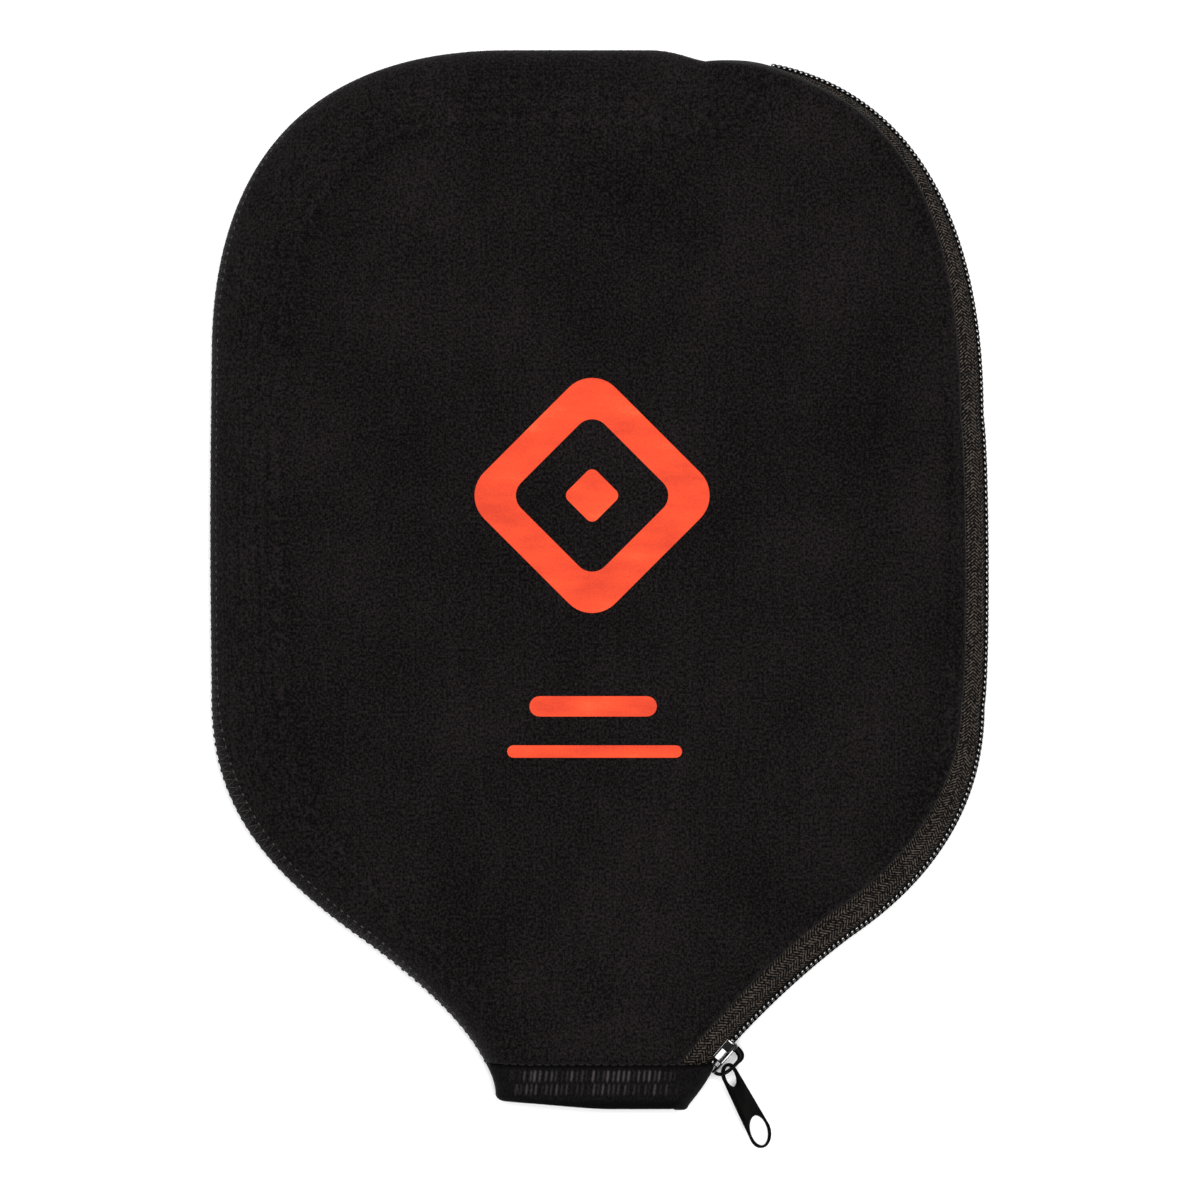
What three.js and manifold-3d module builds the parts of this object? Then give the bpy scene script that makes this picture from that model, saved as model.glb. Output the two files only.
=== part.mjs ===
// Soft zip-up case for a court paddle. It lies on its flat back: X across, Y from the open neck
// (-Y) to the crown (+Y), Z up out of the front. The origin is the middle of the flat back.
// Units are millimetres.
import * as THREE from 'three';
import { mergeVertices } from 'three/addons/utils/BufferGeometryUtils.js';
import Module from 'manifold-3d';

const wasm = await Module();
wasm.setup();

// ---- Driving dimensions -------------------------------------------------------------------------
const THICKNESS = 20; // the whole case, front to back
const MID = THICKNESS / 2; // height of the sewn seam and of the zip's centre
const WALL = 3; // one laminated foam panel
const SEAM_SHOULDER = 26; // how far in the sewn side takes to rise to full height
const NECK_SHOULDER = 12; // the same beside the neck
const ZIP_SHOULDER = 5.5; // the same along the zip
const SHOULDER_STEPS = 4; // facets in each rounded shoulder
const GAP = 0.3; // clearance between pieces that touch

const CUFF_TOP = -134; // where the panels end and the ribbed cuff starts
const CUFF_GROOVE = 1.2; // width of the sewn groove there
const MOUTH = -145.9; // the open end of the case
const CUT_PAST = 12; // how far the tube runs on past the mouth before it is trimmed

const ZIP_ARC_CENTRE = { x: 213.6, y: -289.3 }; // the zip's lower stretch turns about this point
const ZIP_TRACK_RADIUS = 240; // to the middle of the zip's coils
const ZIP_ARC_START = 127.4; // degrees, where that stretch starts
const ZIP_ARC_END = 139.8; // degrees, at the top of the cuff
const SLIDER_AT = 138.76; // degrees, where the closed slider rests
const COIL_START = 19; // distance from the notch along the zip at which the coils start

const TRACK_INSET = 1.35; // middle of the coils, in from the case's edge
const COIL_WIDTH = 2.4; // one coil, across the edge
const COIL_TOP = 3; // outer edge of a coil, above or below the zip's centre
const COIL_GAP = 0.9; // inner edge of a coil, above or below the zip's centre
const TAPE = 0.6; // woven tape
const TAPE_UNDER = 6; // how far the tape runs in under the panel
const THREAD = 0.5;

const FOLD_TOP = new THREE.Vector2(31, 144); // the front opens along the line between these
const FOLD_BOTTOM = new THREE.Vector2(40, -125);

// ---- Materials ----------------------------------------------------------------------------------
function finish(color, roughness, metalness) {
  return new THREE.MeshStandardMaterial({ color, roughness, metalness });
}
const neoprene = finish(0x1b1819, 0.9, 0);
const ribbing = finish(0x221f1e, 0.9, 0);
const webbing = finish(0x2e2a28, 0.85, 0);
const nylon = finish(0x151314, 0.35, 0);
const yarn = finish(0x2b2827, 0.8, 0);
const film = finish(0xf55429, 0.6, 0);
const enamel = finish(0x0c0b0b, 0.25, 0.6);

// ---- Mesh helpers -------------------------------------------------------------------------------
const point2 = (x, y) => new THREE.Vector2(x, y);

function orientOutward(positions, triangles) {
  let volume = 0;
  for (const [a, b, c] of triangles) {
    volume += positions[a].dot(new THREE.Vector3().crossVectors(positions[b], positions[c]));
  }
  return volume < 0 ? triangles.map(([a, b, c]) => [a, c, b]) : triangles;
}

// Closes a stack of equal rings into one skin. capOf gives a ring's flat outline for its end cap.
function skin(rings, capOf) {
  const count = rings[0].length;
  const positions = rings.flat();
  const triangles = [];
  for (let ring = 0; ring < rings.length - 1; ring += 1) {
    for (let i = 0; i < count; i += 1) {
      const next = (i + 1) % count;
      const low = ring * count;
      const high = low + count;
      triangles.push([low + i, low + next, high + next], [low + i, high + next, high + i]);
    }
  }
  const last = rings.length - 1;
  for (const [a, b, c] of THREE.ShapeUtils.triangulateShape(capOf(rings[0], 0), [])) {
    triangles.push([a, c, b]);
  }
  for (const [a, b, c] of THREE.ShapeUtils.triangulateShape(capOf(rings[last], last), [])) {
    const base = last * count;
    triangles.push([base + a, base + b, base + c]);
  }
  // The caps have to face away from each other whichever way the outline runs.
  const area = THREE.ShapeUtils.area(capOf(rings[0], 0));
  const sideCount = 2 * count * last;
  const flipped = triangles.map((t, i) => (i < sideCount ? t : [t[0], t[2], t[1]]));
  const faces = orientOutward(positions, area < 0 ? flipped : triangles);
  const geometry = new THREE.BufferGeometry();
  const coordinates = positions.flatMap((p) => p.toArray());
  geometry.setAttribute('position', new THREE.Float32BufferAttribute(coordinates, 3));
  geometry.setIndex(faces.flat());
  return geometry;
}

function toSolid(geometry) {
  const bare = geometry.clone();
  bare.deleteAttribute('normal');
  bare.deleteAttribute('uv');
  const merged = mergeVertices(bare, 1e-4);
  return new wasm.Manifold(new wasm.Mesh({
    numProp: 3,
    vertProperties: merged.attributes.position.array,
    triVerts: Uint32Array.from(merged.index.array),
  }));
}

function toGeometry(solid) {
  const mesh = solid.getMesh();
  const geometry = new THREE.BufferGeometry();
  const coordinates = Array.from(mesh.vertProperties);
  geometry.setAttribute('position', new THREE.Float32BufferAttribute(coordinates, 3));
  geometry.setIndex(Array.from(mesh.triVerts));
  return geometry;
}

// A prism standing on z = low over a plan outline.
function prism(outline, low, high) {
  const shape = new THREE.Shape(outline);
  const geometry = new THREE.ExtrudeGeometry(shape, { depth: high - low, bevelEnabled: false });
  geometry.translate(0, 0, low);
  return toSolid(geometry);
}

const BEYOND = 200; // cutting solids reach this far, well past the case

function plate(lowX, highX, lowY, highY, low, high) {
  const near = [point2(lowX, lowY), point2(highX, lowY)];
  const far = [point2(highX, highY), point2(lowX, highY)];
  return prism([...near, ...far], low, high);
}

const slabY = (low, high) => plate(-BEYOND, BEYOND, low, high, -BEYOND, BEYOND);
const slabZ = (low, high) => plate(-BEYOND, BEYOND, -BEYOND, BEYOND, low, high);

// ---- Outline ------------------------------------------------------------------------------------
// The sewn side runs from the neck up the left, over the crown to the notch; the zip runs from the
// notch down the right to the neck.
function curve(...ends) {
  const [a, b, c, d] = ends.map(([x, y]) => point2(x, y));
  return new THREE.CubicBezierCurve(a, b, c, d);
}

const seamSide = new THREE.CurvePath();
seamSide.add(curve([-28.6, -143], [-29.7, -127], [-52, -108.8], [-65, -99.6]));
seamSide.add(curve([-65, -99.6], [-97.8, -76.7], [-107, -58.6], [-107, -31]));
seamSide.add(curve([-107, -31], [-107.5, 8], [-107.5, 21], [-107, 60]));
seamSide.add(curve([-107, 60], [-107, 82], [-105, 146.1], [-25, 146.1]));
seamSide.add(new THREE.LineCurve(point2(-25, 146.1), point2(14, 146.1)));
seamSide.add(curve([14, 146.1], [20.5, 146.1], [25, 143.9], [28.5, 143.25]));

const edgeRadius = ZIP_TRACK_RADIUS - TRACK_INSET;

function onArc(radius, degrees) {
  const angle = THREE.MathUtils.degToRad(degrees);
  return point2(
    ZIP_ARC_CENTRE.x + radius * Math.cos(angle),
    ZIP_ARC_CENTRE.y + radius * Math.sin(angle),
  );
}

const arcTop = onArc(edgeRadius, ZIP_ARC_START);
const zipSide = new THREE.CurvePath();
zipSide.add(curve([28.5, 143.25], [64, 146], [106.4, 125.2], [106.2, 45.3]));
zipSide.add(curve([106.2, 45.3], [107.9, 35.3], [108.1, -25.3], [106.6, -35.3]));
zipSide.add(curve([106.6, -35.3], [107, -76], [74, -95.6], arcTop.toArray()));
zipSide.add(new THREE.ArcCurve(
  ZIP_ARC_CENTRE.x,
  ZIP_ARC_CENTRE.y,
  edgeRadius,
  THREE.MathUtils.degToRad(ZIP_ARC_START),
  THREE.MathUtils.degToRad(ZIP_ARC_END),
  false,
));
const zipLength = zipSide.getLength();

const STEP = 0.2; // half the distance over which a side's direction is read

// Stations along a side: place, inward normal and distance from the side's start.
function stations(side, from, to, count) {
  const length = side.getLength();
  return Array.from({ length: count + 1 }, (_, i) => {
    const along = from + ((to - from) * i) / count;
    const place = side.getPointAt(THREE.MathUtils.clamp(along / length, 0, 0.99999));
    const ahead = side.getPointAt(THREE.MathUtils.clamp((along + STEP) / length, 0, 0.99999));
    const behind = side.getPointAt(THREE.MathUtils.clamp((along - STEP) / length, 0, 0.99999));
    const tangent = ahead.sub(behind).normalize();
    return { x: place.x, y: place.y, nx: tangent.y, ny: -tangent.x, along };
  });
}

const smooth = (x, low, high) => THREE.MathUtils.smoothstep(x, low, high);

// How far in from the edge the panels stop, which bares the tape between there and the coils.
function bareWidth(along) {
  const crown = 4.1 * smooth(along, COIL_START - 12, COIL_START - 4);
  const side = 2.2 * smooth(along, 60, 170);
  const lower = 2.4 * smooth(along, 212, 280) - 0.8 * smooth(along, 315, 345);
  return 0.4 + crown + side + lower;
}

const SEAM_POINTS = 46;
const ZIP_POINTS = 50;
const SEAM_RELIEF = 0.7; // the seam's thread stands proud of the panels by this
const seamStations = stations(seamSide, 0, seamSide.getLength(), SEAM_POINTS).map((s) => ({
  ...s,
  relief: SEAM_RELIEF,
  shoulder: NECK_SHOULDER + (SEAM_SHOULDER - NECK_SHOULDER) * smooth(s.along, 30, 110),
}));
const zipStations = stations(zipSide, 0, zipLength, ZIP_POINTS).slice(1).map((s) => ({
  ...s,
  relief: 0,
  shoulder: ZIP_SHOULDER,
}));
const cuffCorner = point2(24.6, -145.6);
const past = point2(cuffCorner.x - CUT_PAST * 0.78, cuffCorner.y - CUT_PAST);
const mouthStations = [
  { x: cuffCorner.x, y: cuffCorner.y, nx: -0.79, ny: 0.61, relief: 0, shoulder: ZIP_SHOULDER },
  { x: past.x, y: past.y, nx: -0.79, ny: 0.61, relief: 0, shoulder: ZIP_SHOULDER },
  { x: -28.6, y: MOUTH - CUT_PAST, nx: 1, ny: 0, relief: SEAM_RELIEF, shoulder: NECK_SHOULDER },
];
const outline = [...seamStations, ...zipStations, ...mouthStations];

// A closed cushion over the outline, set in by inset all round and by the same at top and bottom.
function cushion(inset) {
  const rings = [];
  for (let step = -SHOULDER_STEPS; step <= SHOULDER_STEPS; step += 1) {
    const angle = (step / SHOULDER_STEPS) * (Math.PI / 2);
    rings.push(outline.map((s) => {
      const edge = s.relief + inset;
      const inward = edge + (s.shoulder - edge) * (1 - Math.cos(angle));
      const height = MID + (MID - inset) * Math.sin(angle);
      return new THREE.Vector3(s.x + s.nx * inward, s.y + s.ny * inward, height);
    }));
  }
  return toSolid(skin(rings, (ring) => ring.map((p) => point2(p.x, p.y))));
}

const wall = cushion(0).subtract(cushion(WALL));
const outerSkin = cushion(0).subtract(cushion(1));
const frontHalf = slabZ(MID + GAP / 2, BEYOND);
const backHalf = slabZ(-BEYOND, MID - GAP / 2);

// ---- Panels -------------------------------------------------------------------------------------
const panelEdge = stations(zipSide, 0, zipLength, ZIP_POINTS).map((s) => {
  const inward = bareWidth(s.along);
  return point2(s.x + s.nx * inward, s.y + s.ny * inward);
});
const panelPlan = prism([
  point2(-BEYOND, BEYOND),
  point2(FOLD_TOP.x - 4, BEYOND),
  ...panelEdge,
  point2(panelEdge[ZIP_POINTS].x - 4, -BEYOND),
  point2(-BEYOND, -BEYOND),
], -BEYOND, BEYOND);
const panelLength = slabY(CUFF_TOP + CUFF_GROOVE / 2, BEYOND);

const fold = new THREE.Vector2().subVectors(FOLD_TOP, FOLD_BOTTOM).normalize();
const foldAt = (y, shift) => point2(
  FOLD_BOTTOM.x + ((y - FOLD_BOTTOM.y) * fold.x) / fold.y + shift,
  y,
);
const flapSide = prism([
  foldAt(-BEYOND, GAP / 2),
  point2(BEYOND, -BEYOND),
  point2(BEYOND, BEYOND),
  foldAt(BEYOND, GAP / 2),
], -BEYOND, BEYOND);
const fixedSide = prism([
  point2(-BEYOND, -BEYOND),
  foldAt(-BEYOND, -GAP / 2),
  foldAt(BEYOND, -GAP / 2),
  point2(-BEYOND, BEYOND),
], -BEYOND, BEYOND);

const frontSheet = wall.intersect(frontHalf).intersect(panelPlan).intersect(panelLength);
const frontPanel = frontSheet.intersect(fixedSide);
const frontFlap = frontSheet.intersect(flapSide);
const backPanel = wall.intersect(backHalf).intersect(panelPlan).intersect(panelLength);

// ---- Cuff ---------------------------------------------------------------------------------------
const cuffLength = slabY(MOUTH, CUFF_TOP - CUFF_GROOVE / 2);
const frontCuff = wall.intersect(frontHalf).intersect(cuffLength);
const backCuff = wall.intersect(backHalf).intersect(cuffLength);
const grooveLength = slabY(CUFF_TOP - THREAD / 2, CUFF_TOP + THREAD / 2);
const besideZip = plate(-BEYOND, panelEdge[ZIP_POINTS].x, -BEYOND, BEYOND, -BEYOND, BEYOND);
const grooveSkin = outerSkin.intersect(grooveLength).intersect(besideZip);
const frontCuffThread = grooveSkin.intersect(frontHalf);
const backCuffThread = grooveSkin.intersect(backHalf);

// ---- Zip ----------------------------------------------------------------------------------------
// Sweeps a section, given as [inward, height] pairs, along part of a side.
function sweep(places, sectionAt) {
  const sections = places.map(sectionAt);
  const rings = places.map((s, i) => sections[i].map(
    ([inward, height]) => new THREE.Vector3(s.x + s.nx * inward, s.y + s.ny * inward, height),
  ));
  return skin(rings, (_, i) => sections[i].map(([inward, height]) => point2(inward, height)));
}

// Turns a section over for the back half.
const mirrored = (section) => section.map(([inward, height]) => [inward, THICKNESS - height]);

const COIL_IN = TRACK_INSET - COIL_WIDTH / 2;
const COIL_OUT = TRACK_INSET + COIL_WIDTH / 2;

function coilSection() {
  const low = MID + COIL_GAP;
  const high = MID + COIL_TOP;
  const chamfer = 0.6;
  return [
    [COIL_IN + chamfer, low],
    [COIL_OUT, low],
    [COIL_OUT, high],
    [COIL_IN + chamfer, high],
    [COIL_IN, high - chamfer],
    [COIL_IN, low + chamfer],
  ];
}

function tapeSection(s) {
  const near = COIL_OUT + GAP;
  const turn = MID + COIL_TOP + 0.6;
  const under = THICKNESS - WALL - 0.8;
  const bare = bareWidth(s.along) + 0.4;
  return [
    [near, MID + COIL_GAP],
    [near + TAPE, MID + COIL_GAP],
    [near + TAPE, turn - 0.3],
    [bare + TAPE, under - TAPE],
    [bare + TAPE_UNDER, under - TAPE],
    [bare + TAPE_UNDER, under],
    [bare, under],
    [near, turn],
  ];
}

function threadSection(s) {
  const inward = bareWidth(s.along) + 2.4;
  const high = THICKNESS - WALL - 0.8 - TAPE - GAP;
  return [
    [inward, high - THREAD],
    [inward + THREAD, high - THREAD],
    [inward + THREAD, high],
    [inward, high],
  ];
}

const NECK_TRIM = 1.2; // the zip stops this far short of the cuff
const chain = stations(zipSide, COIL_START, zipLength - NECK_TRIM, 44);
const frontCoilWhole = toSolid(sweep(chain, coilSection));
const backCoil = sweep(chain, () => mirrored(coilSection()));
const frontTapeWhole = toSolid(sweep(chain, tapeSection)).intersect(panelLength);
const backTape = toSolid(sweep(chain, (s) => mirrored(tapeSection(s)))).intersect(panelLength);
const frontZipThread = toSolid(sweep(chain, threadSection)).intersect(flapSide);
const backZipThread = toSolid(sweep(chain, (s) => mirrored(threadSection(s)))).intersect(panelLength);

const STOP_LENGTH = 2.4;
const stopPlaces = stations(zipSide, COIL_START - GAP - STOP_LENGTH, COIL_START - GAP, 2);
const bottomStop = sweep(stopPlaces, () => [
  [COIL_IN + 0.9, MID - COIL_TOP],
  [COIL_OUT + GAP + TAPE, MID - COIL_TOP],
  [COIL_OUT + GAP + TAPE, MID + COIL_TOP],
  [COIL_IN + 0.9, MID + COIL_TOP],
]);

// ---- Sewn side ----------------------------------------------------------------------------------
const SEAM_THREAD_HEIGHT = 4; // the flat stitching straddles the seam by this much
const seamThread = sweep(
  stations(seamSide, 8.5, seamSide.getLength() - 6, SEAM_POINTS),
  () => [
    [0, MID - SEAM_THREAD_HEIGHT / 2],
    [SEAM_RELIEF - GAP, MID - SEAM_THREAD_HEIGHT / 2],
    [SEAM_RELIEF - GAP, MID + SEAM_THREAD_HEIGHT / 2],
    [0, MID + SEAM_THREAD_HEIGHT / 2],
  ],
);

// ---- Emblem -------------------------------------------------------------------------------------
const FILM_LIFT = 0.05;
const FILM = 0.25;
const EMBLEM = { x: -1.9, y: 22.9 };

function roundedDiamond(half, radius, target) {
  const reach = radius * Math.SQRT2;
  const side = radius / Math.SQRT2;
  target.absarc(half - reach, 0, radius, -Math.PI / 4, Math.PI / 4, false);
  target.absarc(0, half - reach, radius, Math.PI / 4, (3 * Math.PI) / 4, false);
  target.absarc(reach - half, 0, radius, (3 * Math.PI) / 4, (5 * Math.PI) / 4, false);
  target.absarc(0, reach - half, radius, (5 * Math.PI) / 4, (7 * Math.PI) / 4, false);
  target.lineTo(half - reach + side, -side);
  return target;
}

function roundedBar(width, height) {
  const radius = height / 2;
  const shape = new THREE.Shape();
  shape.absarc(width / 2 - radius, 0, radius, -Math.PI / 2, Math.PI / 2, false);
  shape.absarc(radius - width / 2, 0, radius, Math.PI / 2, (3 * Math.PI) / 2, false);
  return shape;
}

function filmPiece(shape, x, y) {
  const geometry = new THREE.ExtrudeGeometry(shape, { depth: FILM, bevelEnabled: false, curveSegments: 5 });
  geometry.translate(x, y, THICKNESS + FILM_LIFT);
  return geometry;
}

const frameShape = roundedDiamond(36, 9, new THREE.Shape());
frameShape.holes.push(roundedDiamond(23, 5, new THREE.Path()));
const emblemFrame = filmPiece(frameShape, EMBLEM.x, EMBLEM.y);
const emblemCore = filmPiece(roundedDiamond(8, 2, new THREE.Shape()), EMBLEM.x, EMBLEM.y);
const emblemBarUpper = filmPiece(roundedBar(35, 5.6), -1.6, -35);
const emblemBarLower = filmPiece(roundedBar(48, 3.4), -1.2, -47.4);

// ---- Slider -------------------------------------------------------------------------------------
// Its own frame: x outward from the case, y up the zip, z as the case's, with the zip's centre at 0.
const SLIDER_LENGTH = 10.4;
const SLIDER_WIDTH = 8;
const PLATE = 1;
const PLATE_OUT = COIL_WIDTH / 2 + GAP; // inner face of the outer plate
const PLATE_IN = -COIL_WIDTH / 2 - TAPE - 2.5 * GAP; // inner face of the inner plate
const POST = 1.2; // the wedge between the coils

function box(lowX, highX, lowY, highY, lowZ, highZ) {
  const geometry = new THREE.BoxGeometry(highX - lowX, highY - lowY, highZ - lowZ);
  geometry.translate((lowX + highX) / 2, (lowY + highY) / 2, (lowZ + highZ) / 2);
  return toSolid(geometry);
}

// A plate drawn in its own plane (y along, z across), PLATE thick, from x = low.
function sliderPlate(width, low) {
  const half = SLIDER_LENGTH / 2;
  const shape = new THREE.Shape();
  shape.moveTo(-width / 2, half - 1.5);
  shape.lineTo(-width / 2 + 1.2, half);
  shape.lineTo(width / 2 - 1.2, half);
  shape.lineTo(width / 2, half - 1.5);
  shape.lineTo(width / 2, -half + 3);
  shape.lineTo(1.6, -half);
  shape.lineTo(-1.6, -half);
  shape.lineTo(-width / 2, -half + 3);
  shape.closePath();
  const geometry = new THREE.ExtrudeGeometry(shape, { depth: PLATE, bevelEnabled: false });
  geometry.rotateY(Math.PI / 2);
  geometry.translate(low, 0, 0);
  return toSolid(geometry);
}

function sliderBody() {
  const half = SLIDER_LENGTH / 2;
  const flange = SLIDER_WIDTH / 2;
  const lip = COIL_TOP + GAP;
  return sliderPlate(SLIDER_WIDTH, PLATE_OUT)
    .add(sliderPlate(2 * lip, PLATE_IN - PLATE))
    .add(box(PLATE_OUT - 1.2, PLATE_OUT + 0.2, -half + 3, half - 1.5, lip, flange))
    .add(box(PLATE_OUT - 1.2, PLATE_OUT + 0.2, -half + 3, half - 1.5, -flange, -lip))
    .add(box(PLATE_IN - 0.2, PLATE_OUT + 0.2, -half + 1.8, -half + 4.2, -POST / 2, POST / 2));
}

// The crown: a strip bent to a lopsided bow in the plane across the zip, its feet on the outer plate.
const CROWN_LOW = -5; // outside of its feet, along the zip from the slider's middle
const CROWN_HIGH = 4.6;
const CROWN_RISE = 3.25;
const CROWN_PEAK = 1.8; // the top of the bow, up the zip from the slider's middle
const CROWN_STRIP = 0.7;
const CROWN_WIDTH = 0.9;
const PLATE_FACE = PLATE_OUT + PLATE + GAP / 2;

// One edge of the strip, set in from the outside of the bow.
function bowEdge(inset) {
  const rise = CROWN_RISE - inset;
  const low = CROWN_LOW + inset;
  const high = CROWN_HIGH - inset;
  const across = (share, along) => point2(PLATE_FACE + rise * share, along);
  const parts = [
    new THREE.CubicBezierCurve(across(0, low), across(0.74, low), across(0.95, -2.2), across(1, CROWN_PEAK)),
    new THREE.CubicBezierCurve(across(1, CROWN_PEAK), across(1.02, high - 1), across(0.8, high), across(0, high)),
  ];
  return parts.flatMap((part, i) => part.getPoints(7).slice(i));
}

function crown() {
  const geometry = new THREE.ExtrudeGeometry(
    new THREE.Shape([...bowEdge(0), ...bowEdge(CROWN_STRIP).reverse()]),
    { depth: CROWN_WIDTH, bevelEnabled: false },
  );
  geometry.translate(0, 0, -CROWN_WIDTH / 2);
  return geometry;
}

// ---- Pull tab -----------------------------------------------------------------------------------
// Its own frame: x along the tab from the crown, y across it, z through it.
const TAB_LENGTH = 26.8;
const TAB_EYE_WIDTH = 6.1;
const TAB_END_WIDTH = 8.6;
const TAB_THICKNESS = 0.8;
const TAB_BEHIND = 2.2; // the tab's end behind the crown's strip
const EYE = { low: -1.3, high: 4.7, width: 4.3 };
const END_HOLE = { low: 15.2, high: 23.9, width: 6.9 };
const TAB_GRIP = { out: PLATE_FACE + 2.5, up: -2.1 }; // where the eye hangs on the crown
const TAB_HEADING = -62.6; // degrees in plan from +X
const TAB_SLOPE = 15.5; // degrees down from level, so that its far end meets the table
const TAB_TWIST = -44; // degrees about its own length

function oval({ low, high, width }) {
  const path = new THREE.Path();
  path.absellipse((low + high) / 2, 0, (high - low) / 2, width / 2, 0, 2 * Math.PI, false, 0);
  return path;
}

function pullTab() {
  const eye = TAB_EYE_WIDTH / 2;
  const end = TAB_END_WIDTH / 2;
  const shape = new THREE.Shape();
  shape.absellipse(eye - TAB_BEHIND, 0, eye, eye, Math.PI / 2, (3 * Math.PI) / 2, false, 0);
  shape.absellipse(TAB_LENGTH - TAB_BEHIND - end, 0, end, end, -Math.PI / 2, Math.PI / 2, false, 0);
  shape.closePath();
  shape.holes.push(oval(EYE), oval(END_HOLE));
  const geometry = new THREE.ExtrudeGeometry(shape, {
    depth: TAB_THICKNESS,
    bevelEnabled: false,
    curveSegments: 12,
  });
  geometry.translate(0, 0, -TAB_THICKNESS / 2);
  return geometry;
}

// ---- Assembly -----------------------------------------------------------------------------------
const paddleCase = new THREE.Group();

function addPiece(name, shape, material, parent = paddleCase) {
  const geometry = shape instanceof THREE.BufferGeometry ? shape : toGeometry(shape);
  const mesh = new THREE.Mesh(geometry, material);
  mesh.name = name;
  parent.add(mesh);
  return mesh;
}

addPiece('back_panel', backPanel, neoprene);
addPiece('front_panel', frontPanel, neoprene);
addPiece('front_panel_flap', frontFlap, neoprene);
addPiece('side_seam_thread', seamThread, yarn);
addPiece('front_cuff', frontCuff, ribbing);
addPiece('back_cuff', backCuff, ribbing);
addPiece('cuff_thread_front', frontCuffThread, yarn);
addPiece('cuff_thread_back', backCuffThread, yarn);
addPiece('front_zip_tape', frontTapeWhole.intersect(flapSide), webbing);
addPiece('front_zip_tape_neck', frontTapeWhole.intersect(fixedSide), webbing);
addPiece('back_zip_tape', backTape, webbing);
addPiece('front_coil', frontCoilWhole.intersect(flapSide), nylon);
addPiece('front_coil_neck', frontCoilWhole.intersect(fixedSide), nylon);
addPiece('back_coil', backCoil, nylon);
addPiece('front_zip_thread', frontZipThread, yarn);
addPiece('back_zip_thread', backZipThread, yarn);
addPiece('zip_bottom_stop', bottomStop, nylon);
addPiece('emblem_frame', emblemFrame, film);
addPiece('emblem_core', emblemCore, film);
addPiece('emblem_bar_upper', emblemBarUpper, film);
addPiece('emblem_bar_lower', emblemBarLower, film);

const sliderPlace = onArc(ZIP_TRACK_RADIUS, SLIDER_AT);
const slider = new THREE.Group();
slider.position.set(sliderPlace.x, sliderPlace.y, MID);
slider.rotation.z = THREE.MathUtils.degToRad(SLIDER_AT - 180);
paddleCase.add(slider);
addPiece('slider_body', sliderBody(), enamel, slider);
addPiece('slider_crown', crown(), enamel, slider);

const crownGrip = new THREE.Vector3(TAB_GRIP.out, TAB_GRIP.up, 0);
const tab = new THREE.Group();
tab.position.copy(crownGrip.applyEuler(slider.rotation).add(slider.position));
tab.rotation.order = 'ZYX';
tab.rotation.z = THREE.MathUtils.degToRad(TAB_HEADING);
tab.rotation.y = THREE.MathUtils.degToRad(TAB_SLOPE);
tab.rotation.x = THREE.MathUtils.degToRad(TAB_TWIST);
paddleCase.add(tab);
addPiece('pull_tab', pullTab(), enamel, tab);

export default paddleCase;
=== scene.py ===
"""Looks of the paddle case: foam panels with knit faces, ribbed cuff, coil zip, slider and tab."""

import math

import bmesh
import bpy
import numpy as np
from mathutils import Matrix, Vector
from mathutils.geometry import delaunay_2d_cdt


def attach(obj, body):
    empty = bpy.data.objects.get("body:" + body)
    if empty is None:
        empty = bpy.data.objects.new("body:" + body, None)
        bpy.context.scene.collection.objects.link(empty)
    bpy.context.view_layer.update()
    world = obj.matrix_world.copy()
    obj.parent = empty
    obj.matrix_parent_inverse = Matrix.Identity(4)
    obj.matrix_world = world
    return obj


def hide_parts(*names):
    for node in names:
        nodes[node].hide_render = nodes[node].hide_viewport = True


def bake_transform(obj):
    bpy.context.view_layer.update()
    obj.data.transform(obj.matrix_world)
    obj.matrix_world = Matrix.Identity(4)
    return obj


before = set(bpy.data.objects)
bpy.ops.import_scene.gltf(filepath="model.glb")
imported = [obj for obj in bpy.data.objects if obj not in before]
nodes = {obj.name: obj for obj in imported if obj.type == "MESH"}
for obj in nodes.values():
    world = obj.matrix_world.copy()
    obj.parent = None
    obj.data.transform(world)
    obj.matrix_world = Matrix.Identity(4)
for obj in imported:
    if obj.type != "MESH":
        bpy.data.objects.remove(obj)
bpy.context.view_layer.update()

MM = 0.001  # lengths below are in millimetres until a mesh is made

# ---- Case dimensions, as in the CAD part
THICKNESS = 20.0
MID = THICKNESS / 2
WALL = 3.0
SEAM_SHOULDER = 26.0
NECK_SHOULDER = 12.0
ZIP_SHOULDER = 5.5
GAP = 0.3
CUFF_TOP = -134.0
CUFF_GROOVE = 1.2
MOUTH = -145.9
ZIP_ARC_CENTRE = np.array([213.6, -289.3])
ZIP_TRACK_RADIUS = 240.0
ZIP_ARC_START = 127.4
ZIP_ARC_END = 139.8
SLIDER_AT = 138.76
COIL_START = 19.0
TRACK_INSET = 1.35
COIL_INSET = 0.5  # middle of the wound wire, in from the case's edge
LEAN_BELOW = 2.4  # the chain leans about a line this far under its middle
CUFF_CORNER = np.array([24.6, -145.6])


def smooth(x, low, high):
    """Eases from 0 at low to 1 at high."""
    t = np.clip((x - low) / (high - low), 0, 1)
    return t * t * (3 - 2 * t)


def turned(height, front):
    """A height in the front half, or the same turned over for the back."""
    return height if front else THICKNESS - height


def unit(vectors):
    return vectors / np.linalg.norm(vectors, axis=-1, keepdims=True)


def round_angles(count):
    return np.linspace(0, 2 * math.pi, count, endpoint=False)


# ---- Outline
def bezier(a, b, c, d, count=160):
    """Points of a curve from a to d."""
    t = np.linspace(0, 1, count)[:, None]
    a, b, c, d = (np.array(p, float) for p in (a, b, c, d))
    return a * (1 - t) ** 3 + 3 * b * t * (1 - t) ** 2 + 3 * c * t**2 * (1 - t) + d * t**3


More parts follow.
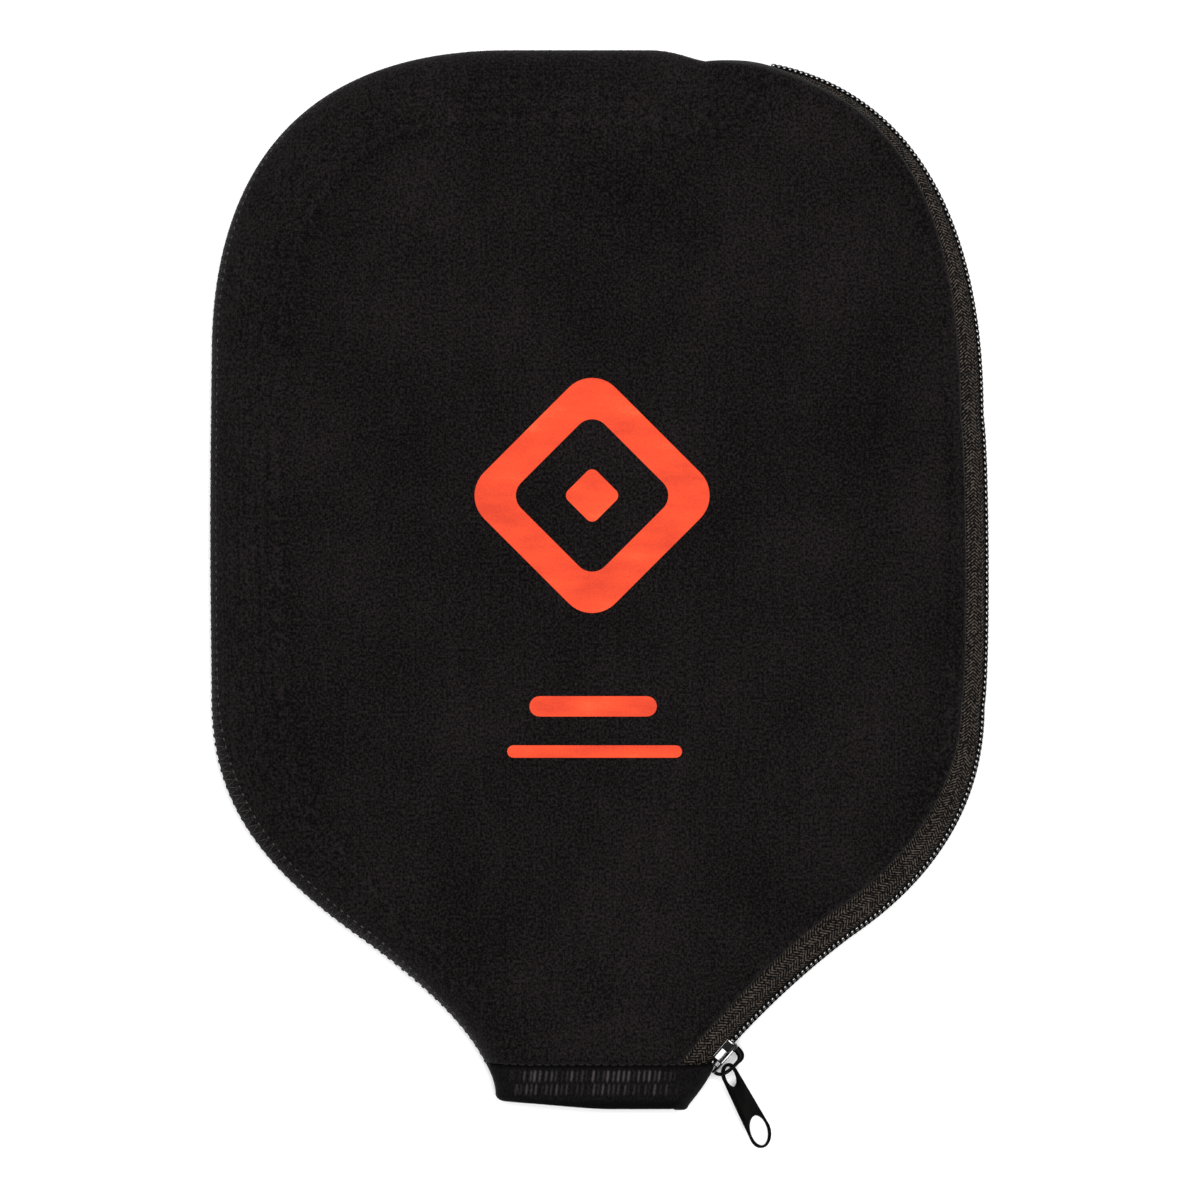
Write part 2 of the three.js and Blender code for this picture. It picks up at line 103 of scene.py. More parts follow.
def on_arc(radius, degrees):
    """A plan point about the centre of the slider's arc."""
    angle = np.radians(degrees)
    return ZIP_ARC_CENTRE + radius * np.stack([np.cos(angle), np.sin(angle)], -1)


class Side:
    """A stretch of the outline, read by distance along it."""

    def __init__(self, *parts):
        points = np.vstack([parts[0]] + [p[1:] for p in parts[1:]])
        step = np.linalg.norm(np.diff(points, axis=0), axis=1)
        keep = np.concatenate([[True], step > 1e-9])
        self.points = points[keep]
        step = np.linalg.norm(np.diff(self.points, axis=0), axis=1)
        self.along = np.concatenate([[0], np.cumsum(step)])
        self.length = self.along[-1]

    def at(self, s):
        return np.stack([np.interp(s, self.along, self.points[:, i]) for i in (0, 1)], -1)

    def inward(self, s, reach=0.6):
        """The plan direction in from the edge, square to it."""
        ahead = self.at(np.minimum(s + reach, self.length))
        behind = self.at(np.maximum(s - reach, 0))
        t = unit(ahead - behind)
        return np.stack([t[..., 1], -t[..., 0]], -1)

    def place(self, s, inset, height):
        """Points in space at a distance along, in from the edge and above the table."""
        s, inset, height = np.broadcast_arrays(*(np.asarray(v, float) for v in (s, inset, height)))
        plan = self.at(s) + self.inward(s) * inset[..., None]
        return np.concatenate([plan, height[..., None]], -1)


seam = Side(
    bezier((-28.6, -143), (-29.7, -127), (-52, -108.8), (-65, -99.6)),
    bezier((-65, -99.6), (-97.8, -76.7), (-107, -58.6), (-107, -31)),
    bezier((-107, -31), (-107.5, 8), (-107.5, 21), (-107, 60)),
    bezier((-107, 60), (-107, 82), (-105, 146.1), (-25, 146.1)),
    np.array([[-25, 146.1], [14, 146.1]]),
    bezier((14, 146.1), (20.5, 146.1), (25, 143.9), (28.5, 143.25)),
)
edge_radius = ZIP_TRACK_RADIUS - TRACK_INSET
arc_top = on_arc(edge_radius, ZIP_ARC_START)
zip_side = Side(
    bezier((28.5, 143.25), (64, 146), (106.4, 125.2), (106.2, 45.3)),
    bezier((106.2, 45.3), (107.9, 35.3), (108.1, -25.3), (106.6, -35.3)),
    bezier((106.6, -35.3), (107, -76), (74, -95.6), arc_top),
    on_arc(edge_radius, np.linspace(ZIP_ARC_START, ZIP_ARC_END, 120)),
)


def bare_width(s):
    """How far in from the case's edge the panels stop along the zip."""
    crown = 2.5 * smooth(s, 11, 34) + 2.5 * smooth(s, 26, 100)
    side = 1.35 * smooth(s, 75, 130)
    lower = 2.4 * smooth(s, 212, 280) - 0.8 * smooth(s, 315, 345)
    return 0.35 + crown + side + lower


def chain_tilt(s):
    """Degrees by which the chain leans back, so that its face shows from above."""
    return 1.5 + 7 * smooth(s, 205, 262)


def lean(s, inset, height):
    """How far in a point of the chain's section is once the chain leans back by its tilt."""
    return inset + np.sin(np.radians(chain_tilt(s))) * (LEAN_BELOW + height - MID)


# ---- Mesh helpers
def new_object(name, data):
    obj = bpy.data.objects.new(name, data)
    bpy.context.scene.collection.objects.link(obj)
    return obj


def make_object(name, verts, faces, material):
    """A smooth-shaded object from vertices in millimetres."""
    mesh = bpy.data.meshes.new(name)
    points = (np.asarray(verts, float) * MM).tolist()
    mesh.from_pydata(points, [], [list(map(int, f)) for f in faces])
    mesh.validate()
    bm = bmesh.new()
    bm.from_mesh(mesh)
    bmesh.ops.recalc_face_normals(bm, faces=bm.faces)
    bm.to_mesh(mesh)
    bm.free()
    mesh.polygons.foreach_set("use_smooth", [True] * len(mesh.polygons))
    mesh.materials.append(material)
    return new_object(name, mesh)


def grid_faces(rows, columns, closed_columns=False, start=0):
    """Quads of a grid of vertices stored row by row."""
    faces = []
    for r in range(rows - 1):
        low = start + r * columns
        high = low + columns
        for c in range(columns if closed_columns else columns - 1):
            beside = (c + 1) % columns
            faces.append([low + c, low + beside, high + beside, high + c])
    return faces


def tube_faces(count, around, start=0):
    """Sides and two end caps of a tube whose rings are stored one after another."""
    last = start + (count - 1) * around
    caps = [[start + i for i in range(around)][::-1], [last + i for i in range(around)]]
    return grid_faces(count, around, closed_columns=True, start=start) + caps


def wall(a, b, count):
    """The face between an edge of one sheet and the same edge of the other, count points on."""
    return [a, b, b + count, a + count]


def sweep(name, rings, material):
    """Closed solid from equal closed rings."""
    return make_object(name, rings.reshape(-1, 3), tube_faces(*rings.shape[:2]), material)


def write_uv(obj, name, values):
    """Stores two numbers a vertex as a UV layer."""
    loops = np.zeros(len(obj.data.loops), int)
    obj.data.loops.foreach_get("vertex_index", loops)
    layer = obj.data.uv_layers.new(name=name)
    layer.data.foreach_set("uv", values[loops].astype(np.float32).ravel())


def squared(wave, power):
    """A sine or cosine with broader crests."""
    return np.sign(wave) * np.abs(wave) ** power


def tube_rings(path, radius, sides=6):
    """Rings of a round thread along a path."""
    tangent = unit(np.gradient(path, axis=0))
    side = np.cross(tangent[0], [0.31, 0.17, 0.93])
    side /= np.linalg.norm(side)
    angles = round_angles(sides)
    rings = []
    for point, t in zip(path, tangent):
        side = side - t * (side @ t)
        side /= np.linalg.norm(side)
        other = np.cross(t, side)
        round_it = np.cos(angles)[:, None] * side + np.sin(angles)[:, None] * other
        rings.append(point + radius * round_it)
    return np.array(rings)


def add_tube(verts, faces, rings):
    """Adds a thread to lists of vertices and faces."""
    faces += tube_faces(*rings.shape[:2], start=sum(len(v) for v in verts))
    verts.append(rings.reshape(-1, 3))


def many_tubes(name, paths, radius, material, sides=6):
    """Separate short threads in one object."""
    verts, faces = [], []
    for path in paths:
        add_tube(verts, faces, tube_rings(path, radius, sides))
    return make_object(name, np.vstack(verts), faces, material)


def nearest_on(points, line, batch=2000):
    """For each plan point, the nearest point of a line of points."""
    a, b = line[:-1], line[1:]
    d = b - a
    size = (d**2).sum(1)
    found = np.zeros_like(points)
    for start in range(0, len(points), batch):
        p = points[start : start + batch, None, :]
        t = np.clip(((p - a) * d).sum(2) / size, 0, 1)
        q = a + t[..., None] * d
        best = np.argmin(((q - p) ** 2).sum(2), 1)
        found[start : start + batch] = q[np.arange(len(best)), best]
    return found


def distance_to(points, line):
    """Distance of each plan point to a line of points."""
    return np.sqrt(((nearest_on(points, line) - points) ** 2).sum(1))


# ---- Materials
UNDER_LIGHTS = 0.76  # the lights bring a colour of this strength up to its full one


def srgb(r, g, b):
    """A colour by its usual screen values, made darker by what the bright lights add."""
    shares = [c / 255 for c in (r, g, b)]
    linear = [v / 12.92 if v <= 10 / 255 else ((v + 0.055) / 1.055) ** 2.4 for v in shares]
    return (*(v * UNDER_LIGHTS for v in linear), 1.0)


class Shader:
    """A material being put together node by node."""

    def __init__(self, name, roughness, specular, **sockets):
        self.material = bpy.data.materials.new(name)
        self.material.use_nodes = True
        self.tree = self.material.node_tree
        self.surface = self.tree.nodes["Principled BSDF"]
        sockets.update(Roughness=roughness, Specular_IOR_Level=specular)
        for key, value in sockets.items():
            self.surface.inputs[key.replace("_", " ")].default_value = value

    def node(self, kind, inputs=None, **settings):
        made = self.tree.nodes.new(kind)
        for key, value in settings.items():
            setattr(made, key, value)
        for key, value in (inputs or {}).items():
            if isinstance(value, bpy.types.NodeSocket):
                self.tree.links.new(value, made.inputs[key])
            else:
                made.inputs[key].default_value = value
        return made

    def place(self, scale, uv=None):
        source = self.node("ShaderNodeUVMap", uv_map=uv) if uv else self.node("ShaderNodeTexCoord")
        vector = source.outputs["UV" if uv else "Object"]
        return self.node("ShaderNodeMapping", {"Vector": vector, "Scale": scale}).outputs[0]

    def noise(self, scale, detail):
        inputs = {"Vector": self.place(scale), "Scale": 1.0, "Detail": detail}
        return self.node("ShaderNodeTexNoise", inputs).outputs[0]

    def cells(self, scale, randomness):
        """Distance from the middles of scattered cells."""
        inputs = {"Vector": self.place(scale), "Scale": 1.0, "Randomness": randomness}
        return self.node("ShaderNodeTexVoronoi", inputs, feature="F1").outputs["Distance"]

    def mottle(self, scale, detail, *stops):
        """Colours the surface by a noise and returns it."""
        noise = self.noise(scale, detail)
        self.colour(self.ramp(noise, stops))
        return noise

    def math(self, operation, *values):
        return self.node("ShaderNodeMath", dict(enumerate(values)), operation=operation).outputs[0]

    def ramp(self, factor, stops):
        made = self.node("ShaderNodeValToRGB", {"Fac": factor})
        elements = made.color_ramp.elements
        while len(elements) < len(stops):
            elements.new(0.5)
        for element, (position, colour) in zip(elements, stops):
            element.position = position
            element.color = colour
        return made.outputs["Color"]

    def mix(self, factor, a, b):
        made = self.node("ShaderNodeMix", {0: factor, 6: a, 7: b}, data_type="RGBA")
        return made.outputs[2]

    def colour(self, value):
        self.tree.links.new(value, self.surface.inputs["Base Color"])

    def roughness(self, value):
        self.tree.links.new(value, self.surface.inputs["Roughness"])

    def bump(self, height, distance, strength):
        inputs = {"Height": height, "Distance": distance, "Strength": strength}
        bump = self.node("ShaderNodeBump", inputs)
        self.tree.links.new(bump.outputs[0], self.surface.inputs["Normal"])


def knit_material(name, dark, light):
    """Fine jersey: columns of small loops, uneven in tone."""
    wale, course = 0.00062, 0.0005  # width and height of one loop, in metres
    shader = Shader(name, 0.95, 0.03, Sheen_Weight=0.04, Sheen_Roughness=0.5)
    loops = shader.cells((1 / wale, 1 / course, 1 / course), 0.55)
    fuzz = shader.noise((1500, 1300, 1300), 3.0)
    streak = shader.noise((520, 60, 60), 2.0)
    cloud = shader.noise((38, 38, 38), 4.0)
    tone = shader.math("MULTIPLY_ADD", fuzz, 0.95, shader.math("MULTIPLY", streak, 0.1))
    tone = shader.math("MULTIPLY_ADD", cloud, 0.2, tone)
    tone = shader.math("SUBTRACT", tone, shader.math("MULTIPLY", loops, 0.3))
    shader.colour(shader.ramp(tone, [(0.37, dark), (0.68, light)]))
    height = shader.math("SUBTRACT", shader.math("MULTIPLY", fuzz, 0.6), loops)
    shader.bump(height, 0.00012, 0.9)
    return shader.material


def webbing_material():
    """Herringbone tape: slanted floats that turn back in each column. U runs along, V across."""
    shader = Shader("zip_webbing", 0.8, 0.07)
    split = shader.node("ShaderNodeSeparateXYZ", {"Vector": shader.place((1, 1, 1), uv="weave")})
    along, across = split.outputs[0], split.outputs[1]
    column, pick = 0.0021, 0.00047  # width of a herringbone column and of one float, in metres
    fold = shader.math("PINGPONG", across, column)
    slanted = shader.math("MULTIPLY_ADD", fold, 0.85, along)
    floats = shader.math("DIVIDE", shader.math("PINGPONG", slanted, pick), pick)
    furrow = shader.math("DIVIDE", shader.math("PINGPONG", across, column / 4), column / 4)
    fuzz = shader.noise((1500, 1500, 1500), 3.0)
    height = shader.math("MULTIPLY_ADD", furrow, 0.2, floats)
    tone = shader.math("MULTIPLY_ADD", fuzz, 1.1, shader.math("MULTIPLY", height, 0.42))
    stops = [(0.58, srgb(4, 3, 3)), (0.86, srgb(17, 15, 13)), (1.0, srgb(86, 77, 70))]
    shader.colour(shader.ramp(tone, stops))
    shader.bump(height, 0.0002, 1.0)
    return shader.material


def painted_light_rib_material():
    """Knit of the cuff, with painted light and shade. U is the height of the rib: crests are painted
    lighter as if lit, hollows darker as if shaded. V darkens the hem with painted shade.
    """
    shader = Shader("cuff_rib_knit_painted_light", 0.9, 0.05)
    split = shader.node("ShaderNodeSeparateXYZ", {"Vector": shader.place((1, 1, 1), uv="ribs")})
    fuzz = shader.noise((2000, 1300, 1300), 3.0)
    ridge = shader.math("MULTIPLY", split.outputs[0], shader.math("MULTIPLY_ADD", fuzz, 1.6, 0.2))
    # Painted light and shade: a near-black ramp for the hollows between ribs, a lighter one for the
    # lit crests.
    shaded_hollow_tone = shader.ramp(fuzz, [(0.38, srgb(4, 4, 4)), (0.62, srgb(19, 17, 18))])
    raised = shader.ramp(ridge, [(0.12, srgb(7, 6, 6)), (0.85, srgb(64, 59, 61))])
    tone = shader.mix(split.outputs[0], shaded_hollow_tone, raised)
    # Painted shade: where V is 1 the colour goes near black.
    shader.colour(shader.mix(split.outputs[1], tone, srgb(4, 3, 3)))
    shader.bump(fuzz, 0.0001, 0.6)
    return shader.material


def yarn_material(name, dark, light, specular=0.15):
    """Thread, mottled by its twist."""
    shader = Shader(name, 0.7, specular)
    twist = shader.mottle((2200, 2200, 2200), 2.0, (0.35, dark), (0.65, light))
    shader.bump(twist, 0.0001, 0.6)
    return shader.material


def nylon_material(name, dark, light, roughness, specular, **shine):
    """Hazy nylon. Only the coil's crests, which are rubbed, shine; the matt flanks get a lighter
    colour instead, a painted sheen.
    """
    shader = Shader(name, roughness, specular, **shine)
    haze = shader.mottle((900, 900, 900), 2.0, (0.3, dark), (0.7, light))
    if shine:
        shader.roughness(shader.math("MULTIPLY_ADD", haze, 0.12, 0.26))
    return shader.material


def enamel_material(name, rough, specular, coat):
    """Black enamel with a faint haze and orange peel."""
    shader = Shader(name, 0.14, specular, Coat_Weight=coat, Coat_Roughness=0.08)
    haze = shader.mottle((420, 420, 420), 4.0, (0.3, srgb(3, 3, 3)), (0.75, srgb(11, 9, 8)))
    shader.roughness(shader.math("MULTIPLY_ADD", haze, 0.14, rough))
    shader.bump(shader.noise((1500, 1500, 1500), 1.0), 0.00002, 0.4)
    return shader.material


def film_material():
    """Matt transfer film pressed into the knit, so the loops still show through."""
    shader = Shader("transfer_film", 0.6, 0.15)
    loops = shader.cells((1500, 1700, 1000), 0.7)
    cloud = shader.noise((70, 190, 70), 5.0)
    tone = shader.math("MULTIPLY_ADD", loops, -0.25, cloud)
    stops = [(0.15, srgb(205, 52, 16)), (0.5, srgb(231, 68, 25)), (0.8, srgb(246, 92, 45))]
    shader.colour(shader.ramp(tone, stops))
    height = shader.math("MULTIPLY_ADD", cloud, 0.8, shader.math("MULTIPLY", loops, -1.0))
    shader.bump(height, 0.00008, 0.7)
    return shader.material


knit = knit_material("neoprene_knit", srgb(6, 5, 5), srgb(34, 29, 30))
rib_knit_painted_light = painted_light_rib_material()
webbing = webbing_material()
shine = {"Coat_Weight": 1.0, "Coat_Roughness": 0.24, "Coat_IOR": 1.6, "IOR": 1.5}
nylon = nylon_material("coil_nylon", srgb(5, 4, 4), srgb(17, 15, 14), 0.3, 0.5, **shine)
# The flanks' lighter colour is painted sheen, in place of the reflection their matt finish leaves
# out.
flank_nylon_painted_sheen = nylon_material("coil_nylon_flank_painted_sheen", srgb(13, 12, 12), srgb(36, 33, 31), 0.9, 0.0)
enamel = enamel_material("slider_enamel", 0.08, 0.5, 0.3)
bow_enamel = enamel_material("bow_enamel", 0.3, 0.02, 0.0)
film = film_material()
seam_yarn = yarn_material("seam_yarn", srgb(12, 11, 11), srgb(74, 68, 67))
plain_yarn = yarn_material("plain_yarn", srgb(6, 5, 5), srgb(32, 28, 28))
cord_yarn = yarn_material("cord_yarn", srgb(4, 3, 3), srgb(14, 12, 12), specular=0.0)


# ---- Panels
def seam_shoulder(s):
    """Width of the rounded edge along the sewn side."""
    return NECK_SHOULDER + (SEAM_SHOULDER - NECK_SHOULDER) * smooth(s, 30, 110)


def quarter_round(distance, reach):
    """Rises from 0 at an edge to 1, as a quarter of an ellipse."""
    t = np.clip(distance / reach, 0, 1)
    return np.sqrt(np.clip(1 - (1 - t) ** 2, 0, 1))


PANEL_END = CUFF_TOP + CUFF_GROOVE / 2
EDGE_ROLL = 2.2  # a panel's cut edge is rounded over this width
ROWS = [0.12, 0.45, 1.0, 1.7, 2.6, 3.6, 4.8, 6.3, 8.0, 10.0]  # rows of points in from the edge
SPACING = 2.6  # between points away from the edge
NOTCH = (27.5, 139.0)  # where the zip starts


def rim_share(roll):
    """Share of the full thickness, from a pinched rim to the rest."""
    return 0.12 + 0.88 * roll


def panel_loop():
    """A panel's outline in plan, and the stretches of it along the zip and the neck."""
    s = np.arange(0, seam.length, 1.6)
    sewn = seam.at(s) + seam.inward(s) * 0.05
    left = np.interp(PANEL_END, *sewn[:20, ::-1].T)
    sewn = sewn[sewn[:, 1] > PANEL_END + 0.8]
    z = np.arange(0.8, zip_side.length, 1.6)
    free = zip_side.at(z) + zip_side.inward(z) * bare_width(z)[:, None]
    free = free[free[:, 1] > PANEL_END + 0.8]
    run, drop = free[-1] - free[-4]
    right = free[-1, 0] + (PANEL_END - free[-1, 1]) * run / drop
    x = np.linspace(right, left, 44)
    neck = np.stack([x, np.full_like(x, PANEL_END)], -1)
    return np.vstack([sewn, free, neck]), free, neck


def loop_normals(loop):
    """Inward way at each point of a closed loop."""
    t = unit(np.roll(loop, -1, 0) - np.roll(loop, 1, 0))
    return np.stack([t[:, 1], -t[:, 0]], -1)


def plan_mesh(loop):
    """Triangles that fill a loop, with closer rows beside its edge, and the loop's own points."""
    closed = np.vstack([loop, loop[:1]])
    normals = loop_normals(loop)
    inner = []
    for depth in ROWS:
        ring = loop + normals * depth
        inner.append(ring[distance_to(ring, closed) > depth * 0.94])
    low, high = loop.min(0), loop.max(0)
    xs = np.arange(low[0], high[0], SPACING)
    ys = np.arange(low[1], high[1], SPACING)
    gx, gy = np.meshgrid(xs, ys)
    gx = gx + np.where(np.arange(len(ys)) % 2, SPACING / 2, 0)[:, None]
    cells = np.stack([gx.ravel(), gy.ravel()], -1)
    near = distance_to(cells, closed)
    inside = np.zeros(len(cells), bool)
    for p, q in zip(closed[:-1], closed[1:]):
        crosses = (p[1] > cells[:, 1]) != (q[1] > cells[:, 1])
        with np.errstate(divide="ignore", invalid="ignore"):
            x = p[0] + (cells[:, 1] - p[1]) * (q[0] - p[0]) / (q[1] - p[1])
        inside ^= crosses & (cells[:, 0] < x)
    cells = cells[inside & (near > ROWS[-1] + SPACING * 0.6)]
    points = np.vstack([loop, *inner, cells])
    count = len(loop)
    edges = [(i, (i + 1) % count) for i in range(count)]
    out, _, tris, origin, _, _ = delaunay_2d_cdt([Vector(p) for p in points], edges, [], 1, 1e-6)
    order = {source: index for index, sources in enumerate(origin) for source in sources}
    plan = np.array([list(v) for v in out])
    return plan, [list(t) for t in tris], [order[i] for i in range(count)]


def panel_shape(plan, free_line, neck_line, front):
    """Points of a panel's outer and inner faces over those of its plan."""
    foot = nearest_on(plan, seam.points)
    to_seam = np.linalg.norm(plan - foot, axis=1)
    along = np.array([seam.along[np.argmin(((seam.points - p) ** 2).sum(1))] for p in foot])
    shoulder = seam_shoulder(along)
    to_zip = distance_to(plan, zip_side.points)
    to_free = np.minimum(distance_to(plan, free_line), distance_to(plan, neck_line))
    sewn_rise = quarter_round(to_seam, shoulder)
    zip_rise = quarter_round(to_zip, ZIP_SHOULDER)
    # Two rounded shoulders meet in one soft corner beside the notch.
    rise = 1 - np.minimum(1, ((1 - sewn_rise) ** 3 + (1 - zip_rise) ** 3) ** (1 / 3))
    top = MID + GAP / 2 + (MID - GAP / 2) * rise
    under = MID + GAP / 2 + (MID - WALL) * rise
    middle, half = (top + under) / 2, (top - under) / 2
    share = rim_share(quarter_round(to_free, EDGE_ROLL))
    # On the sewn side the inner face starts one wall thickness in.
    pull = WALL * np.clip(1 - to_seam / shoulder, 0, 1) * smooth(to_free, 0, 6)
    direction = (plan - foot) / np.maximum(to_seam, 1e-6)[:, None]
    outer, inner = middle + half * share, middle - half * share
    if front:
        x, y = plan[:, 0], plan[:, 1]
        # The zip's stitching draws in the cloth a little way from the edge.
        drawn = np.exp(-(((to_free - 3.6) / 1.3) ** 2)) * smooth(y, -100, -20) * smooth(x, 20, 60)
        lip = np.exp(-(((to_free - 1.9) / 1.4) ** 2)) * smooth(y, -60, 20) * smooth(x, 30, 70)
        # A crease runs in from the notch, where the zip starts.
        u = (x - NOTCH[0]) * 0.86 + (y - NOTCH[1]) * -0.5
        v = (x - NOTCH[0]) * 0.5 + (y - NOTCH[1]) * 0.86
        crease = np.exp(-((u / 9) ** 2) - ((v / 3.2) ** 2))
        dimple = np.exp(-(((x - 26.5) / 8) ** 2) - (((y - 132.5) / 6) ** 2))
        swell = np.exp(-(((x - 46) / 12) ** 2) - (((y - 132) / 7) ** 2))
        # The print's part is flat, and slow waves run round it.
        beyond = smooth(np.hypot(x + 2, (y - 6) * 0.8), 62, 82)
        wave = 0.14 * np.sin(x / 17 + 1.3) * np.sin(y / 23 + 0.4) * beyond
        outer = outer - 0.34 * drawn + 0.16 * lip - 0.9 * crease
        outer = outer - 0.8 * dimple + 0.35 * swell + wave
    inner_plan = plan + direction * pull[:, None]
    return np.column_stack([plan, outer]), np.column_stack([inner_plan, inner])


def build_panel(name, front):
    """One foam panel as a closed sheet. The back is the front turned over, without its dips."""
    loop, free_line, neck_line = panel_loop()
    plan, tris, rim = plan_mesh(loop)
    outer, inner = panel_shape(plan, free_line, neck_line, front)
    count = len(plan)
    verts = np.vstack([outer, inner])
    faces = tris + [[count + c, count + b, count + a] for a, b, c in tris]
    faces += [wall(b, a, count) for a, b in zip(rim, rim[1:] + rim[:1])]
    if not front:
        verts[:, 2] = THICKNESS - verts[:, 2]
        faces = [f[::-1] for f in faces]
    panel = make_object(name, verts, faces, knit)
    return panel


front_panel = build_panel("front_panel_cloth", front=True)
back_panel = build_panel("back_panel_cloth", front=False)
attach(back_panel, "case")
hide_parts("back_panel")


def bend_at_fold(obj):
    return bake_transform(obj)


bend_at_fold(front_panel)
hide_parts("front_panel", "front_panel_flap")


# ---- Sewn side
STITCH = 2.45  # one zigzag of the flat seam
SEAM_WIDTH = 5.4


def over_edge(s, arc):
    """Inset and height of points on the rounded edge, arc millimetres up round from its middle."""
    shoulder = seam_shoulder(s)
    angle = np.linspace(0, 0.9, 60)
    inset = shoulder[..., None] * (1 - np.cos(angle))
    height = MID * np.sin(angle) * np.ones_like(inset)
    step = np.hypot(np.diff(inset, axis=-1), np.diff(height, axis=-1))
    run = np.concatenate([np.zeros((*step.shape[:-1], 1)), np.cumsum(step, -1)], -1)
    flat = [
        (np.interp(abs(a), r, i), math.copysign(np.interp(abs(a), r, h), a))
        for a, r, i, h in zip(arc, run, inset, height)
    ]
    return np.array(flat).T


def seam_arc(s):
    """How far round to the front the flat seam's upper needle line lies."""
    lower = smooth(s, 20, 60) * (1 - smooth(s, 110, 150))
    top = smooth(s, 250, 370)
    return 4.3 + 2.5 * lower - 2.9 * top


def flat_seam():
    """Thread of the seam that joins the panels: a zigzag between two lines of short stitches."""
    start, end = 9.0, seam.length - 3
    count = int((end - start) / STITCH)
    # Slanted strokes of four steps, from the upper needle line to the lower one and back.
    t = np.linspace(0, count * 2, count * 2 * 4 + 1)
    s = start + STITCH * t / 2
    swing = np.interp(t % 2, [0, 1, 2], [1, -1, 1])
    upper = seam_arc(s)
    lower = upper - SEAM_WIDTH
    arc = (upper + lower) / 2 + swing * (upper - lower) / 2
    inset, height = over_edge(s, arc)
    verts, faces = [], []
    add_tube(verts, faces, tube_rings(seam.place(s, inset + 0.02, MID + height), 0.1))
    # Short stitches lie along both needle lines, flatter where the upper one is at the edge.
    for on_upper in (True, False):
        for i in range(count):
            s = start + STITCH * (i + (0 if on_upper else 0.5)) + np.linspace(-0.5, 0.5, 5)
            arc = seam_arc(s) - (0 if on_upper else SEAM_WIDTH)
            inset, height = over_edge(s, arc)
            full = float(smooth(arc.mean(), 1.5, 3.5)) if on_upper else 1.0
            lift = (0.04 + 0.12 * full) * np.cos(np.linspace(-1.5, 1.5, 5))
            tilt = np.clip(abs(height) / MID, 0, 1)
            rise = MID + height + lift * tilt * np.sign(height)
            path = seam.place(s, inset - lift * (1 - tilt), rise)
            add_tube(verts, faces, tube_rings(path, 0.12 + 0.08 * full))
    thread = make_object("side_flat_seam", np.vstack(verts), faces, seam_yarn)
    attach(thread, "case")
    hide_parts("side_seam_thread")


flat_seam()


# ---- Cuff
RIB = 1.42  # one rib of the cuff's knit
RIB_SLANT = 0.09  # the uprights lean by this much of a rib for each millimetre up
CUFF_START = PANEL_END - 0.3
rng = np.random.default_rng(7)
rib_height = rng.uniform(0.35, 1.0, 80)
rib_shift = rng.uniform(-0.18, 0.18, 80)


def cuff_sides(y):
    """Left and right edges of the cuff in plan at a height y."""
    line = seam.at(np.linspace(0, 20, 120))
    left = np.interp(y, *line[:, ::-1].T)
    # The hem's left corner is rounded.
    left = left + 2.0 * (1 - np.sqrt(1 - np.clip((-y - 143.4) / 2.4, 0, 1) ** 2))
    top = np.array([31.6, -135.0])  # where the right edge starts
    share = np.clip((top[1] - y) / (top[1] - CUFF_CORNER[1]), 0, 1)
    right = top[0] + (CUFF_CORNER[0] - top[0]) * share**1.25
    return left, right


def ribs(x, y):
    """Height of the ribs: two rows of short uprights, offset by half a rib."""
    fade = smooth(x, -27, -22) * (1 - smooth(x, 17, 25))
    height = np.zeros_like(x)
    for row, (high, low, offset) in enumerate(((-134.3, -139.0, 0.0), (-138.0, -142.7, 0.5))):
        slant = RIB_SLANT * (y + 139)
        index = np.floor(x / RIB + offset - slant + 40).astype(int)
        phase = x / RIB + offset + rib_shift[(index * 3 + row * 11) % 80] - slant
        wave = (0.5 + 0.5 * np.cos(2 * math.pi * (phase - 0.5))) ** 0.8
        span = smooth(-y, -high, -high + 1.2) * (1 - smooth(-y, -low - 1.6, -low))
        tall = wave * span * rib_height[(index + row * 17) % 80] * (1 - 0.25 * row)
        height = np.maximum(height, tall)
    return height * fade


